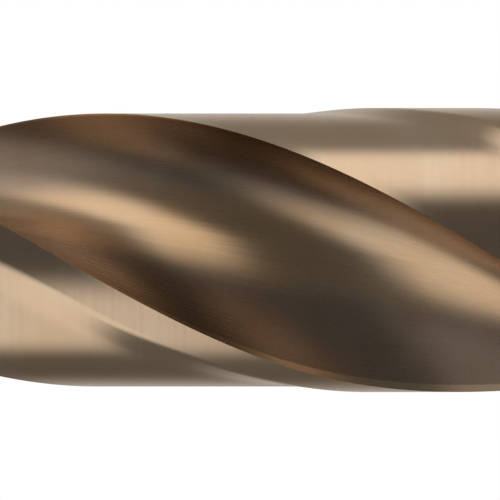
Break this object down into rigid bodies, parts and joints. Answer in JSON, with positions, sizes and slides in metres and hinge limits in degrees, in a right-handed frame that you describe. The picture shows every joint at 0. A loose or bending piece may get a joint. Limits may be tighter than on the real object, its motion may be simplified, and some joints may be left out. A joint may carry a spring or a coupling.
{
  "type": "twist drill bit",
  "caption": "Twist drill bit with a straight round shank, right-hand helical flutes, narrow margins and a split point, in bronze-finished steel.",
  "frame": {"origin": "centre of the shank's flat end, on the drill's axis", "axes": "+Z along the drill's axis from the shank to the point, +X along one of the lips as seen from the point, +Y ahead of that lip in the cutting direction"},
  "size_m": [0.01, 0.01, 0.089],
  "materials": {
    "bronze_finished_steel": "ground high speed steel with a thin gold-bronze heat oxide, satin"
  },
  "bodies": {
    "root": {"drill_bit": "bronze_finished_steel"}
  },
  "joints": []
}
